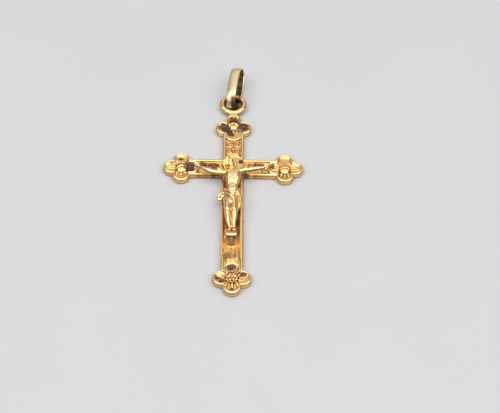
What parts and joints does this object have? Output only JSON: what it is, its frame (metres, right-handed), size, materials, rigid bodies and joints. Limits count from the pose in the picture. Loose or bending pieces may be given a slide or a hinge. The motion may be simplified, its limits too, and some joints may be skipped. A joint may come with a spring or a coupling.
{
  "type": "cross pendant",
  "caption": "Gold cross pendant with quatrefoil ends, a figure with halo and footrest, an eyelet and a loose oval bail, lying on its back.",
  "frame": {"origin": "middle of the crossing, on the flat back face of the cross", "axes": "+X along the arms to the viewer's right, +Y up the cross to the bail, +Z out of the front"},
  "size_m": [0.022, 0.0456, 0.0037],
  "materials": {
    "gold_cross": "warm 18 carat yellow gold, polished rims and edges, dark tarnish in the sunk panels",
    "gold_corpus": "warm 18 carat yellow gold, polished by wear on the high places, dull in the folds",
    "gold_bail": "paler yellow gold, satin from wear, darker inside"
  },
  "bodies": {
    "root": {"cross": "gold_cross", "corpus": "gold_corpus", "bail": "gold_bail"}
  },
  "joints": []
}
